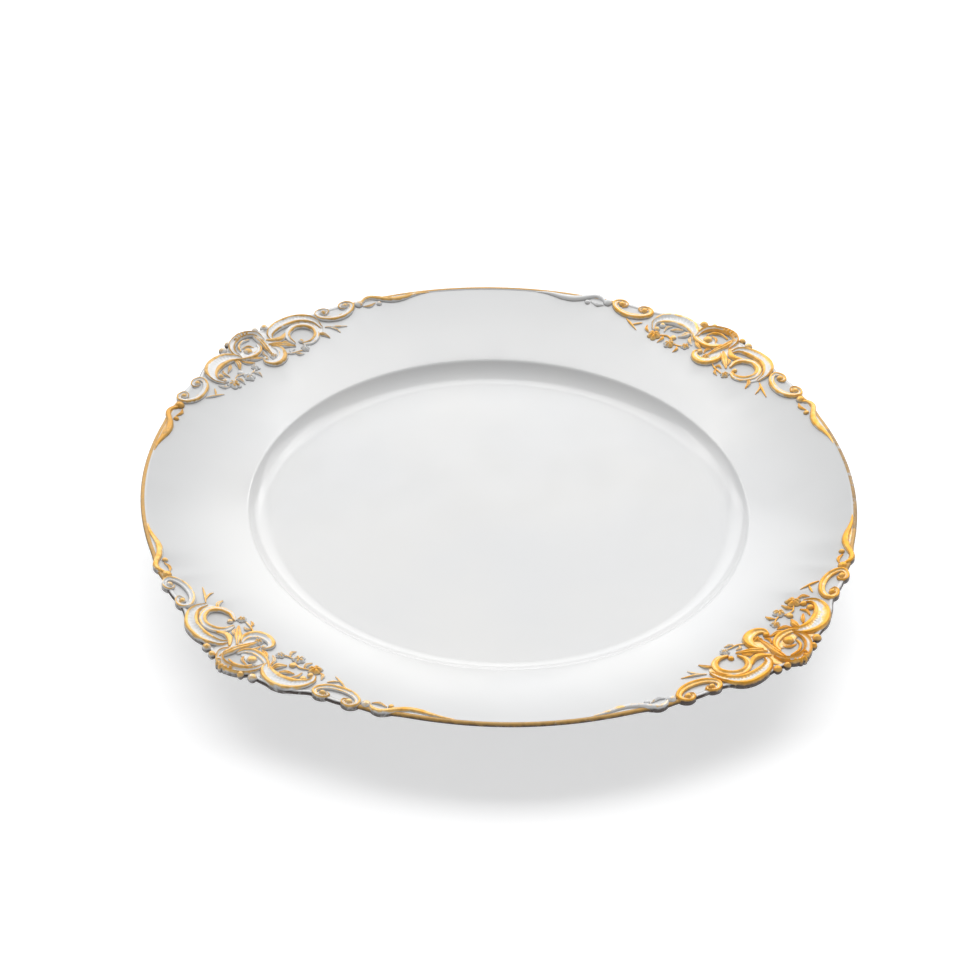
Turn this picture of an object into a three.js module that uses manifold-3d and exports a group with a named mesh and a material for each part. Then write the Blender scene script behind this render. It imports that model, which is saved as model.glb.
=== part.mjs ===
// A round china serving platter, 13 in (330 mm) across its crests: a glazed dish with a sunk well
// and a sloping flange, a foot ring, sprig-moulded rococo relief in four clusters on the rim, and
// a fired gilt line along the plain stretches of the rim between the clusters.
// Millimetres, +Z up. The origin is on the dish's axis at the level that the foot ring stands on.
// The clusters are a quarter turn apart, with their crests at 45, 135, 225 and 315 degrees from +X.
import * as THREE from 'three';
import { mergeVertices } from 'three/addons/utils/BufferGeometryUtils.js';
import Module from 'manifold-3d';

const wasm = await Module();
wasm.setup();

// Driving dimensions
const RIM_RADIUS = 153; // of the plain rim
const WELL_DEPTH = 6.8; // from the well's edge down to its floor
const FLANGE_RISE = 11.4; // from the well's edge up to the rim
const WELL_EDGE_RADIUS = 108.6;
const FLOOR_RADIUS = 97.5; // of the flat part of the floor
const FLOOR_THICKNESS = 3.5;
const FLANGE_THICKNESS = 3.1; // measured along Z
const FOOT_HEIGHT = 4.2;
const FOOT_RADIUS = 96; // to the middle of the ring
const FOOT_WIDTH_TOP = 6;
const FOOT_WIDTH_BASE = 3.4;
const FIT_GAP = 0.3; // between the dish and each piece that is applied to it
const STRETCH_RADIUS = 116; // the flange is drawn out beyond here to carry the clusters
const SEGMENTS = 120; // round the dish, so one every 3 degrees
const FOOT_SEGMENTS = 72;
const GILT_LINE_THICKNESS = 0.5;
const GILT_LINE_HEIGHT = 1.3;
const GILT_LINE_HALF_ANGLE = 12.6; // degrees, to each side of the middle of a plain stretch

// How far the edge stands out beyond the plain rim, at each segment counted from a crest.
const LOBE = [10.8, 8.3, 7.8, 7.2, 5.2, 2.9, 3.2, 1.9, 2.3, 0.8, 0.2, 0];

// Heights of the relief pieces above the flange
const SHELL_HEIGHT = 1.7;
const ROSETTE_HEIGHT = 3;
const SCROLL_HEIGHT = 2.3;
const BUD_HEIGHT = 2.4;
const FLORET_HEIGHT = 1.8;
const CUP_HEIGHT = 2.1;
const TAIL_HEIGHT = 1.7;

// Levels worked out from the dimensions above
const FLOOR_UNDERSIDE = FOOT_HEIGHT + FIT_GAP;
const FLOOR_TOP = FLOOR_UNDERSIDE + FLOOR_THICKNESS;
const WELL_EDGE_TOP = FLOOR_TOP + WELL_DEPTH;
const RIM_TOP = WELL_EDGE_TOP + FLANGE_RISE;
const FLANGE_SLOPE = FLANGE_RISE / (RIM_RADIUS - WELL_EDGE_RADIUS);
const SEGMENT_ARC = (RIM_RADIUS * 2 * Math.PI) / SEGMENTS;

const china = new THREE.MeshStandardMaterial({ color: 0xf0f0ee, roughness: 0.15, metalness: 0 });
const biscuit = new THREE.MeshStandardMaterial({ color: 0xe4dfd4, roughness: 0.6, metalness: 0 });
const gilt = new THREE.MeshStandardMaterial({ color: 0xe0a43c, roughness: 0.3, metalness: 0.9 });
const gildedRelief = new THREE.MeshStandardMaterial({ color: 0xe8ac45, roughness: 0.35, metalness: 0.6 });

const platter = new THREE.Group();

function addPiece(name, geometry, material) {
  const piece = new THREE.Mesh(geometry, material);
  piece.name = name;
  platter.add(piece);
}

// The lobed edge, at an arc length along the rim from the nearest crest.
function lobeAt(arc) {
  const step = Math.min(Math.abs(arc) / SEGMENT_ARC, LOBE.length - 1);
  const whole = Math.min(Math.floor(step), LOBE.length - 2);
  return THREE.MathUtils.lerp(LOBE[whole], LOBE[whole + 1], step - whole);
}

// Arc length along the rim from the nearest crest to an azimuth in radians.
function arcFromCrest(azimuth) {
  const quarter = Math.PI / 2;
  const turn = THREE.MathUtils.euclideanModulo(azimuth, quarter) - quarter / 2;
  return turn * RIM_RADIUS;
}

// The flange's own radius and the radius that the lobes draw it out to, and back again.
const stretchAt = (arc) => 1 + lobeAt(arc) / (RIM_RADIUS - STRETCH_RADIUS);
const drawnOut = (r, arc) => (r > STRETCH_RADIUS ? STRETCH_RADIUS + (r - STRETCH_RADIUS) * stretchAt(arc) : r);
const drawnBack = (r, arc) => (r > STRETCH_RADIUS ? STRETCH_RADIUS + (r - STRETCH_RADIUS) / stretchAt(arc) : r);
const flangeTop = (r) => WELL_EDGE_TOP + (r - WELL_EDGE_RADIUS) * FLANGE_SLOPE;
const flangeUnderside = (r) => flangeTop(r) - FLANGE_THICKNESS;

// A solid turned about +Z from a profile of [radius, height] points, from its lowest point outwards and up.
function turned(profile, segments) {
  const points = profile.map(([r, z]) => new THREE.Vector2(r, z));
  const solid = new THREE.LatheGeometry(points, segments);
  solid.rotateX(Math.PI / 2);
  return solid;
}

function dish() {
  const profile = [
    [0, FLOOR_UNDERSIDE],
    [FLOOR_RADIUS + 2, FLOOR_UNDERSIDE],
    [FLOOR_RADIUS + 5.1, FLOOR_UNDERSIDE + 1],
    [FLOOR_RADIUS + 7.7, FLOOR_TOP - 0.4],
    [FLOOR_RADIUS + 9.7, FLOOR_TOP + 2.2],
    [WELL_EDGE_RADIUS + 1.4, flangeUnderside(WELL_EDGE_RADIUS + 1.4)],
    [STRETCH_RADIUS, flangeUnderside(STRETCH_RADIUS)],
    [RIM_RADIUS - 2, flangeUnderside(RIM_RADIUS - 2)],
    [RIM_RADIUS - 0.4, RIM_TOP - 2.5],
    [RIM_RADIUS, RIM_TOP - 1.4],
    [RIM_RADIUS - 0.8, RIM_TOP - 0.5],
    [RIM_RADIUS - 2.4, flangeTop(RIM_RADIUS - 2.4)],
    [STRETCH_RADIUS, flangeTop(STRETCH_RADIUS)],
    [WELL_EDGE_RADIUS, WELL_EDGE_TOP],
    [WELL_EDGE_RADIUS - 2.4, WELL_EDGE_TOP - 0.8],
    [FLOOR_RADIUS + 7.1, FLOOR_TOP + 4.6],
    [FLOOR_RADIUS + 5.3, FLOOR_TOP + 2.3],
    [FLOOR_RADIUS + 3.1, FLOOR_TOP + 0.7],
    [FLOOR_RADIUS, FLOOR_TOP],
    [0, FLOOR_TOP],
  ];
  const solid = turned(profile, SEGMENTS);
  const position = solid.getAttribute('position');
  for (let i = 0; i < position.count; i += 1) {
    const x = position.getX(i);
    const y = position.getY(i);
    const r = Math.hypot(x, y);
    if (r > STRETCH_RADIUS) {
      const scale = drawnOut(r, arcFromCrest(Math.atan2(y, x))) / r;
      position.setXY(i, x * scale, y * scale);
    }
  }
  return solid;
}

function footRing() {
  const profile = [
    [FOOT_RADIUS - FOOT_WIDTH_BASE / 2, 0],
    [FOOT_RADIUS + FOOT_WIDTH_BASE / 2, 0],
    [FOOT_RADIUS + FOOT_WIDTH_TOP / 2, FOOT_HEIGHT],
    [FOOT_RADIUS - FOOT_WIDTH_TOP / 2, FOOT_HEIGHT],
    [FOOT_RADIUS - FOOT_WIDTH_BASE / 2, 0],
  ];
  return turned(profile, FOOT_SEGMENTS);
}

// A gilt line round the outer edge of a plain stretch of rim, centred on an azimuth in degrees.
function giltLine(azimuth) {
  const from = THREE.MathUtils.degToRad(azimuth - GILT_LINE_HALF_ANGLE);
  const to = THREE.MathUtils.degToRad(azimuth + GILT_LINE_HALF_ANGLE);
  const inner = RIM_RADIUS + FIT_GAP;
  const section = new THREE.Shape();
  section.absarc(0, 0, inner + GILT_LINE_THICKNESS, from, to, false);
  section.absarc(0, 0, inner, to, from, true);
  const line = new THREE.ExtrudeGeometry(section, {
    depth: GILT_LINE_HEIGHT,
    bevelEnabled: false,
    curveSegments: 10,
  });
  line.translate(0, 0, RIM_TOP - 1.4 - GILT_LINE_HEIGHT / 2);
  return line;
}

// Relief is drawn flat, seen from above with outwards up: [arc, out] in mm, where arc runs along the
// rim from the crest, positive to the right seen from the middle of the dish, and out is measured
// from the plain rim. All of it is drawn for the right-hand side, and side -1 mirrors it.

function flatSolid(shape, height, curveSegments = 3) {
  return new THREE.ExtrudeGeometry(shape, { depth: height, bevelEnabled: false, curveSegments });
}

// A strip of varying width along a smooth line of [arc, out, width] points.
function strip(points, side, steps) {
  const line = new THREE.CatmullRomCurve3(
    points.map(([arc, out, width]) => new THREE.Vector3(arc * side, out, width)),
  );
  const left = [];
  const right = [];
  for (let i = 0; i <= steps; i += 1) {
    const at = line.getPoint(i / steps);
    const along = line.getTangent(i / steps).setZ(0).normalize();
    const reach = at.z / 2;
    left.push(new THREE.Vector2(at.x - along.y * reach, at.y + along.x * reach));
    right.push(new THREE.Vector2(at.x + along.y * reach, at.y - along.x * reach));
  }
  return new THREE.Shape([...left, ...right.reverse()]);
}

const mirrored = (points, side) => new THREE.Shape(points.map(([arc, out]) => new THREE.Vector2(arc * side, out)));

// Both halves of a symmetrical outline, from its points on the right from top to bottom.
const symmetrical = (points) =>
  new THREE.Shape([
    ...points.map(([arc, out]) => new THREE.Vector2(arc, out)),
    ...points
      .filter(([arc]) => arc > 0)
      .reverse()
      .map(([arc, out]) => new THREE.Vector2(-arc, out)),
  ]);

function disc(arc, out, radius, sides, height) {
  const shape = new THREE.Shape();
  shape.absarc(arc, out, radius, 0, 2 * Math.PI, false);
  return flatSolid(shape, height, sides);
}

function toManifold(geometry) {
  const bare = geometry.clone();
  bare.deleteAttribute('normal');
  bare.deleteAttribute('uv');
  const merged = mergeVertices(bare);
  const vertProperties = merged.getAttribute('position').array;
  const triVerts = new Uint32Array(merged.index.array);
  return new wasm.Manifold(new wasm.Mesh({ numProp: 3, vertProperties, triVerts }));
}

function joined(first, second) {
  const mesh = toManifold(first).add(toManifold(second)).getMesh();
  const solid = new THREE.BufferGeometry();
  solid.setAttribute('position', new THREE.BufferAttribute(mesh.vertProperties, 3));
  solid.setIndex(new THREE.BufferAttribute(mesh.triVerts, 1));
  return solid;
}

// Bends a flat relief piece round the rim and lays it on the flange, with its crest at an azimuth.
function laidOnRim(flat, azimuth) {
  const solid = flat.clone();
  const position = solid.getAttribute('position');
  for (let i = 0; i < position.count; i += 1) {
    const arc = position.getX(i);
    const r = RIM_RADIUS + position.getY(i);
    const turn = THREE.MathUtils.degToRad(azimuth) - arc / RIM_RADIUS;
    const base = flangeTop(drawnBack(r, arc)) + FIT_GAP;
    position.setXYZ(i, r * Math.cos(turn), r * Math.sin(turn), base + position.getZ(i));
  }
  solid.deleteAttribute('normal');
  const lit = solid.index ? solid.toNonIndexed() : solid;
  lit.computeVertexNormals();
  return lit;
}

// The shell at the head of the cluster, with the round rosette in its hollow.
function shellCrest() {
  const outline = [
    [0, 10.4],
    [2.6, 9.8],
    [5.6, 8.2],
    [7.2, 5.6],
    [6.9, 1.2],
    [5.6, -2.8],
    [2.4, -5.4],
    [0, -5.8],
  ];
  const shell = flatSolid(symmetrical(outline), SHELL_HEIGHT);
  return joined(shell, disc(0, 1.5, 4.2, 14, ROSETTE_HEIGHT));
}

// The large C-scroll beside the crest, with its inner end curled up.
function scroll(side) {
  const line = [
    [9.4, -4.6, 1.8],
    [9.7, 0, 2.8],
    [12, 4, 3.6],
    [17, 5.5, 4],
    [23.5, 5.1, 4],
    [29.2, 3.5, 3.8],
    [32.3, -0.3, 3.6],
    [32, -5.4, 3.2],
    [28.8, -9.6, 3],
    [24, -10.6, 3],
    [20.2, -7.8, 3],
    [20.3, -3.7, 3],
    [23.6, -1.7, 3],
    [26.6, -3.4, 2.6],
  ];
  return flatSolid(strip(line, side, 22), SCROLL_HEIGHT);
}

// The bud that hangs inwards from the crest on a short stem.
function bud() {
  const outline = [
    [0, -6.3],
    [1.3, -6.5],
    [1.5, -9.8],
    [4, -11.4],
    [5.6, -14.6],
    [5, -18],
    [2.6, -20.4],
    [0, -21.2],
  ];
  return joined(flatSolid(symmetrical(outline), BUD_HEIGHT - 0.8), disc(0, -15.2, 3, 10, BUD_HEIGHT));
}

// The five-petalled flower between the bud and the scroll.
function floret(side) {
  const petals = 5;
  const outline = [];
  for (let i = 0; i < petals * 4; i += 1) {
    const turn = (i / (petals * 4)) * 2 * Math.PI;
    const reach = 3.5 + 0.8 * Math.cos(petals * turn);
    outline.push([14.2 + reach * Math.sin(turn), -13.6 + reach * Math.cos(turn)]);
  }
  return flatSolid(mirrored(outline, side), FLORET_HEIGHT);
}

// The U-shaped scroll beyond the C-scroll, open to the rim.
function cupScroll(side) {
  const line = [
    [37.2, 1.6, 2],
    [37.4, -2.8, 2.6],
    [40.2, -6.6, 2.8],
    [45.6, -8.3, 3],
    [50.8, -6.7, 2.8],
    [53.6, -2.8, 2.6],
    [54, 1.2, 2],
  ];
  return flatSolid(strip(line, side, 12), CUP_HEIGHT);
}

// The wave that runs out into the plain rim.
function tailScroll(side) {
  const line = [
    [57.4, -1.9, 2],
    [60.6, 0, 2.8],
    [65.6, 0.6, 3],
    [70.2, -2, 2.8],
    [75.4, -4.9, 2.6],
    [80.6, -4.6, 2.2],
    [84.4, -2.8, 1.4],
  ];
  return flatSolid(strip(line, side, 12), TAIL_HEIGHT);
}

const CLUSTERS = { back_right: 45, back_left: 135, front_left: 225, front_right: 315 };
const SIDES = { left: -1, right: 1 };
const PLAIN_STRETCHES = { right: 0, back: 90, left: 180, front: 270 };

addPiece('platter_body', dish(), china);
addPiece('foot_ring', footRing(), biscuit);
for (const [place, azimuth] of Object.entries(PLAIN_STRETCHES)) {
  addPiece(`gilt_rim_${place}`, giltLine(azimuth), gilt);
}
for (const [cluster, azimuth] of Object.entries(CLUSTERS)) {
  addPiece(`${cluster}_shell_crest`, laidOnRim(shellCrest(), azimuth), gildedRelief);
  addPiece(`${cluster}_bud`, laidOnRim(bud(), azimuth), gildedRelief);
  for (const [hand, side] of Object.entries(SIDES)) {
    addPiece(`${cluster}_scroll_${hand}`, laidOnRim(scroll(side), azimuth), gildedRelief);
    addPiece(`${cluster}_floret_${hand}`, laidOnRim(floret(side), azimuth), gildedRelief);
    addPiece(`${cluster}_cup_scroll_${hand}`, laidOnRim(cupScroll(side), azimuth), gildedRelief);
    addPiece(`${cluster}_tail_scroll_${hand}`, laidOnRim(tailScroll(side), azimuth), gildedRelief);
  }
}

export default platter;
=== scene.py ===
"""A round china serving platter with gilded rococo relief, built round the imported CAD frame.

The dish is one turned surface whose edge is drawn out under the relief. The relief is drawn flat, as
[arc, out] in millimetres from the crest of a cluster, and is then bent round the rim and laid on it.
Lengths are millimetres until a mesh is written, which scales them to metres.
"""

import math

import bmesh
import bpy
import numpy as np
from mathutils import Matrix, Vector


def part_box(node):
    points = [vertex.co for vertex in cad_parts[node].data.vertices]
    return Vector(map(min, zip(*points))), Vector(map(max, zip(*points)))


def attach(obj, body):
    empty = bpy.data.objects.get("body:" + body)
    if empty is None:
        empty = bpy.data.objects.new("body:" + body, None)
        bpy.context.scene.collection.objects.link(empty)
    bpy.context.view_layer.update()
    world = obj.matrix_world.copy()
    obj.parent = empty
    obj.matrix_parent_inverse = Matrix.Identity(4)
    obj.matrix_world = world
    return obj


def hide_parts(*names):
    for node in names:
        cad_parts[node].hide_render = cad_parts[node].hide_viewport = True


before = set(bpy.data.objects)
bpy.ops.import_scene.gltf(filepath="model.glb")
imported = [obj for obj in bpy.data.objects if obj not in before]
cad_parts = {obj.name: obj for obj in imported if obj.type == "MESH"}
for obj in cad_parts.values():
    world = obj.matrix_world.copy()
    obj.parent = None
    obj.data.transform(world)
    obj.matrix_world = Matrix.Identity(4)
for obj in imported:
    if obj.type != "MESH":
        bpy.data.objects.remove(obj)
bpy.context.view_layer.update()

MM = 0.001
CLUSTERS = {"back_right": 45, "back_left": 135, "front_left": 225, "front_right": 315}
PLAIN_STRETCHES = {"right": 0, "back": 90, "left": 180, "front": 270}
SIDES = {"right": 1, "left": -1}

# ---------------------------------------------------------------- driving dimensions, from the frame

body_low, body_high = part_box("platter_body")
_, foot_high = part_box("foot_ring")

RIM_RADIUS = body_high.x / MM
RIM_LEVEL = body_high.z / MM  # the top of the CAD dish, which the camera looks at
UNDERSIDE = body_low.z / MM
FOOT_TOP = foot_high.z / MM
FOOT_OUTER = foot_high.x / MM

FLOOR_THICKNESS = 3.5
WELL_DEPTH = 6.8
FLANGE_RUN = 44.4
FLANGE_RISE = 11.4
FLANGE_STEEP = math.radians(17)  # the flange is a little steeper by the well than by the rim
WALL_SLOPE = math.radians(52)
FLOOR_DISH = math.radians(0.4)  # slope of the very slightly dished floor where the wall begins
FLOOR_DISH_POWER = 2
FLOOR_FILLET = 14.4
WELL_EDGE_FILLET = 2.6
FLANGE_THICKNESS = 3.1
STRETCH_WIDTH = 37  # this much of the flange is drawn out to carry the clusters
STRETCH_RADIUS = RIM_RADIUS - STRETCH_WIDTH
STRETCH_ROUNDS = 14  # rounds in which the drawing-out is undone to find a height
LIP_WIDTH = 2.63
LIP_FOOT = 0.6  # radii of the raised lip's section, from the flange outwards and under
LIP_CROWN = 1.6
LIP_EDGE = 0.8
LIP_FACE = 0.1  # height of the straight part of the outer edge
UNDER_START = 0.8  # from the foot ring's outer face to where the underside begins to rise
UNDER_SLOPE = math.radians(55)
UNDER_INNER_FILLET = 4.0
UNDER_OUTER_FILLET = 6.0
AXIS_GAP = 0.02  # the turned surface stops this short of its axis and is closed by a small face
SEGMENTS = 840
FOOT_SEGMENTS = 360
FOOT_HALF_WIDTH = 3.0
FOOT_SINK = 0.3  # the ring's root runs this far into the dish

FLOOR_LEVEL = UNDERSIDE + FLOOR_THICKNESS
WELL_EDGE_RADIUS = RIM_RADIUS - FLANGE_RUN
WELL_EDGE_LEVEL = FLOOR_LEVEL + WELL_DEPTH
FLANGE_BEND = (math.tan(FLANGE_STEEP) - FLANGE_RISE / FLANGE_RUN) / FLANGE_RUN

# How far the edge stands out beyond the plain rim, by arc length from a crest.
EDGE_ARC = [0, 3.5, 7.5, 12.5, 20, 27, 31.5, 35, 39, 46, 52, 57, 62, 68, 74, 90]
EDGE_OUT = [9.4, 8.8, 7.1, 6.3, 6.1, 5.1, 3.6, 2.0, 1.6, 1.8, 1.6, 0.8, 1.2, 0.7, 0.1, 0]
EDGE_SAG = 2.2  # the most that the drawn-out edge droops
EDGE_SAG_DRAW = 5.5  # most of that is reached once the edge is drawn out this far
EDGE_SOFTNESS = 3.0
SAG_SOFTNESS = 11.0  # the droop follows the outline only loosely
EDGE_STEP = 0.25
EDGE_REACH = 120.0
LOBE_START = 1.3  # where the edge stands out further than this it is left ungilded
LOBE_FADE = 0.4


def edge_table(softness):
    """The edge's outline with its corners rounded off, as evenly spaced samples."""
    arc = np.arange(-EDGE_REACH, EDGE_REACH + EDGE_STEP, EDGE_STEP)
    out = np.interp(np.abs(arc), EDGE_ARC, EDGE_OUT)
    width = int(softness / EDGE_STEP)
    window = np.hanning(2 * width + 1)
    return arc, np.convolve(out, window / window.sum(), mode="same")


EDGE_TABLE = edge_table(EDGE_SOFTNESS)
SAG_TABLE = edge_table(SAG_SOFTNESS)


def edge_out(arc):
    return np.interp(arc, *EDGE_TABLE)


def arc_from_crest(azimuth):
    """Arc length along the rim to the nearest crest, from an azimuth in radians."""
    quarter = math.pi / 2
    return (np.mod(azimuth, quarter) - quarter / 2) * RIM_RADIUS


def stretch_share(r):
    """How much of the edge's outward draw a radius of the plain profile takes: none to all."""
    t = np.clip((np.asarray(r, float) - STRETCH_RADIUS) / (RIM_RADIUS - STRETCH_RADIUS), 0, 1)
    return t * t * (3 - 2 * t)


def edge_sag(arc, r):
    return EDGE_SAG * np.tanh(np.interp(arc, *SAG_TABLE) / EDGE_SAG_DRAW) * stretch_share(r) ** 3


def flange_level(r):
    run = np.asarray(r, float) - WELL_EDGE_RADIUS
    return WELL_EDGE_LEVEL + math.tan(FLANGE_STEEP) * run - FLANGE_BEND * run * run


def china_level(arc, out):
    """Height of the china's top surface at a place given along and out from the rim."""
    radius = RIM_RADIUS + np.asarray(out, float)
    draw = edge_out(arc)
    r = radius.copy()
    for _ in range(STRETCH_ROUNDS):
        r = radius - draw * stretch_share(r)
    level = flange_level(np.clip(r, WELL_EDGE_RADIUS, RIM_RADIUS - LIP_WIDTH))
    return level - edge_sag(arc, r)


# ---------------------------------------------------------------- mesh helpers


def write_mesh(name, points, faces, material, values, crease=55):
    """A piece from points in millimetres, with float attributes such as how gilded each point is."""
    mesh = bpy.data.meshes.new(name)
    mesh.from_pydata((np.asarray(points) * MM).tolist(), [], faces)
    for key, value in values.items():
        layer = mesh.attributes.new(key, "FLOAT", "POINT")
        layer.data.foreach_set("value", np.asarray(value, np.float32))
    bm = bmesh.new()
    bm.from_mesh(mesh)
    bmesh.ops.recalc_face_normals(bm, faces=bm.faces)
    bm.to_mesh(mesh)
    bm.free()
    mesh.shade_smooth()
    mesh.set_sharp_from_angle(angle=math.radians(crease))
    mesh.materials.append(material)
    piece = bpy.data.objects.new(name, mesh)
    bpy.context.scene.collection.objects.link(piece)
    return piece


def settle(piece, slot, *nodes):
    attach(piece, "root")
    if nodes:
        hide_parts(*nodes)


def grid_faces(rows, columns, wrap_columns, wrap_rows=False):
    """Quads between the rows of a grid of points, numbered row by row."""
    faces = []
    for i in range(rows if wrap_rows else rows - 1):
        below = (i + 1) % rows
        for j in range(columns if wrap_columns else columns - 1):
            beside = (j + 1) % columns
            here = i * columns
            there = below * columns
            faces.append((here + j, here + beside, there + beside, there + j))
    return faces


def end_faces(rows, columns):
    """The two faces that close a grid of points at its first and its last row."""
    last = (rows - 1) * columns
    return [tuple(range(columns)), tuple(last + j for j in reversed(range(columns)))]


class Outline:
    """A profile in [radius, height], drawn by turning and going forward."""

    def __init__(self, r, z, angle=0.0):
        self.points = [(r, z)]
        self.angle = angle

    def line(self, length, steps):
        r, z = self.points[-1]
        for i in range(1, steps + 1):
            along = length * i / steps
            self.points.append((r + along * math.cos(self.angle), z + along * math.sin(self.angle)))
        return self

    def arc(self, radius, to_angle, steps):
        r, z = self.points[-1]
        start = self.angle
        turn = math.copysign(1, to_angle - start)
        for i in range(1, steps + 1):
            a = start + (to_angle - start) * i / steps
            dr = radius * turn * (math.sin(a) - math.sin(start))
            dz = radius * turn * (math.cos(start) - math.cos(a))
            self.points.append((r + dr, z + dz))
        self.angle = to_angle
        return self


# ---------------------------------------------------------------- the dish


def fillet_rise(radius, low, high):
    return radius * abs(math.cos(low) - math.cos(high))


def fillet_run(radius, low, high):
    return radius * abs(math.sin(high) - math.sin(low))


def lip_profile():
    """The raised lip along the edge, from the flange's end over its crown and down to the underside."""
    start = RIM_RADIUS - LIP_WIDTH
    slope = math.atan(math.tan(FLANGE_STEEP) - 2 * FLANGE_BEND * (start - WELL_EDGE_RADIUS))
    lip = Outline(start, float(flange_level(start)), slope)
    lip.arc(LIP_FOOT, math.radians(40), 3)
    lip.arc(LIP_CROWN, math.radians(-20), 9)
    lip.arc(LIP_EDGE, math.radians(-90), 7)
    lip.line(LIP_FACE, 2)
    lip.arc(LIP_EDGE, math.radians(-166), 7)
    return np.array(lip.points)


def top_profile():
    """The floor, its wall and the flange, from the middle out to the foot of the lip."""
    bends = [
        (FLOOR_FILLET, FLOOR_DISH, WALL_SLOPE),
        (WELL_EDGE_FILLET, FLANGE_STEEP, WALL_SLOPE),
    ]
    wall_run = sum(fillet_run(*bend) for bend in bends)
    wall_rise = sum(fillet_rise(*bend) for bend in bends)
    dish_rise = math.tan(FLOOR_DISH) * (WELL_EDGE_RADIUS - wall_run) / FLOOR_DISH_POWER
    wall_line = (WELL_DEPTH - dish_rise - wall_rise) / math.sin(WALL_SLOPE)
    floor_edge = WELL_EDGE_RADIUS - wall_run - wall_line * math.cos(WALL_SLOPE)
    floor_radii = np.linspace(AXIS_GAP, floor_edge, 10)
    floor = [(r, FLOOR_LEVEL + dish_rise * (r / floor_edge) ** FLOOR_DISH_POWER) for r in floor_radii]
    wall = Outline(floor_edge, FLOOR_LEVEL + dish_rise, FLOOR_DISH)
    wall.arc(FLOOR_FILLET, WALL_SLOPE, 16).line(wall_line, 2).arc(WELL_EDGE_FILLET, FLANGE_STEEP, 7)
    flange_radii = np.linspace(WELL_EDGE_RADIUS, RIM_RADIUS - LIP_WIDTH, 20)
    flange = [(r, float(flange_level(r))) for r in flange_radii]
    return floor + wall.points[1:-1] + flange


def underside_profile(lip_end):
    """From the lip's end back under the flange, down to the base and in to the middle."""
    start = FOOT_OUTER + UNDER_START
    bends = [
        (UNDER_INNER_FILLET, 0, UNDER_SLOPE),
        (UNDER_OUTER_FILLET, FLANGE_STEEP, UNDER_SLOPE),
    ]
    rise = sum(fillet_rise(*bend) for bend in bends)
    run = sum(fillet_run(*bend) for bend in bends)
    short = float(flange_level(start + run)) - FLANGE_THICKNESS - UNDERSIDE - rise
    line = short / (math.sin(UNDER_SLOPE) - math.cos(UNDER_SLOPE) * math.tan(FLANGE_STEEP))
    under = Outline(start, UNDERSIDE)
    under.arc(UNDER_INNER_FILLET, UNDER_SLOPE, 5).line(line, 3).arc(UNDER_OUTER_FILLET, FLANGE_STEEP, 5)
    back = under.points[::-1]
    join = np.linspace(lip_end[0], back[0][0], 12)[1:-1]
    lip_drop = float(flange_level(lip_end[0])) - lip_end[1]
    back_drop = float(flange_level(back[0][0])) - back[0][1]
    blend = np.linspace(lip_drop, back_drop, 12)[1:-1]
    beneath = [(r, float(flange_level(r)) - drop) for r, drop in zip(join, blend, strict=True)]
    base = [(r, UNDERSIDE) for r in np.linspace(start, AXIS_GAP, 4)[1:]]
    return beneath + back + base


def dish_profile():
    """The whole section, from the middle of the floor out over the rim and back under to the middle."""
    lip = lip_profile()
    return np.array(top_profile() + lip[1:].tolist() + underside_profile(lip[-1]))


def turned_points(profile, azimuths, lobed):
    """Rows of points, one row per profile point, one column per azimuth."""
    r = np.repeat(profile[:, :1], len(azimuths), axis=1)
    z = np.repeat(profile[:, 1:], len(azimuths), axis=1)
    if lobed:
        arc = arc_from_crest(azimuths)[None, :]
        r = r + stretch_share(profile[:, :1]) * edge_out(arc)
        z = z - edge_sag(arc, profile[:, :1])
    points = np.stack([r * np.cos(azimuths), r * np.sin(azimuths), z], axis=-1)
    return points.reshape(-1, 3)


def make_dish(material):
    profile = dish_profile()
    azimuths = np.arange(SEGMENTS) * 2 * math.pi / SEGMENTS
    points = turned_points(profile, azimuths, True)
    faces = grid_faces(len(profile), SEGMENTS, True) + end_faces(len(profile), SEGMENTS)
    piece = write_mesh("china_dish", points, faces, material, {})
    settle(piece, "china_glaze", "platter_body")


def make_foot(material):
    middle = FOOT_OUTER - FOOT_HALF_WIDTH
    sink = UNDERSIDE + FOOT_SINK
    profile = np.array(
        [
            (middle - 3.6, sink),
            (middle - 3.0, FOOT_TOP),
            (middle - 2.3, FOOT_TOP - 1.0),
            (middle - 1.9, 1.4),
            (middle - 1.6, 0.5),
            (middle - 1.1, 0.08),
            (middle, 0.0),
            (middle + 1.1, 0.08),
            (middle + 1.6, 0.5),
            (middle + 1.9, 1.4),
            (middle + 2.5, FOOT_TOP - 1.0),
            (middle + 3.3, FOOT_TOP),
            (middle + 4.2, sink),
        ]
    )
    azimuths = np.arange(FOOT_SEGMENTS) * 2 * math.pi / FOOT_SEGMENTS
    points = turned_points(profile, azimuths, False)
    faces = grid_faces(len(profile), FOOT_SEGMENTS, True, True)
    piece = write_mesh("standing_foot_ring", points, faces, material, {})
    settle(piece, "biscuit_foot", "foot_ring")


# ---------------------------------------------------------------- the gilt edge


LIP_GILDED = slice(6, 25)  # the points of the lip's section that the gilding covers
SKIN = 0.09  # how far the gilding stands off the lip at most
SKIN_TAPER = 0.35  # the lower, the more abruptly it thins out at its borders
SKIN_ROOT = 0.25  # how far it runs into the china
BAND_STEPS = 8  # per degree of azimuth
BAND_GILT = (1.25, 0.5)  # gilding at the crown, and how much of it is lost by the under edge
BAND_SHADE_STAIN = (0.42, 0.3)  # where the painted shade and stain under the lip begin, as a share of the section, and their fading width
LOBE_SHADE_STAIN = 0.22  # the painted shade and stain begin this much nearer to the crown on the lobes


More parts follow.
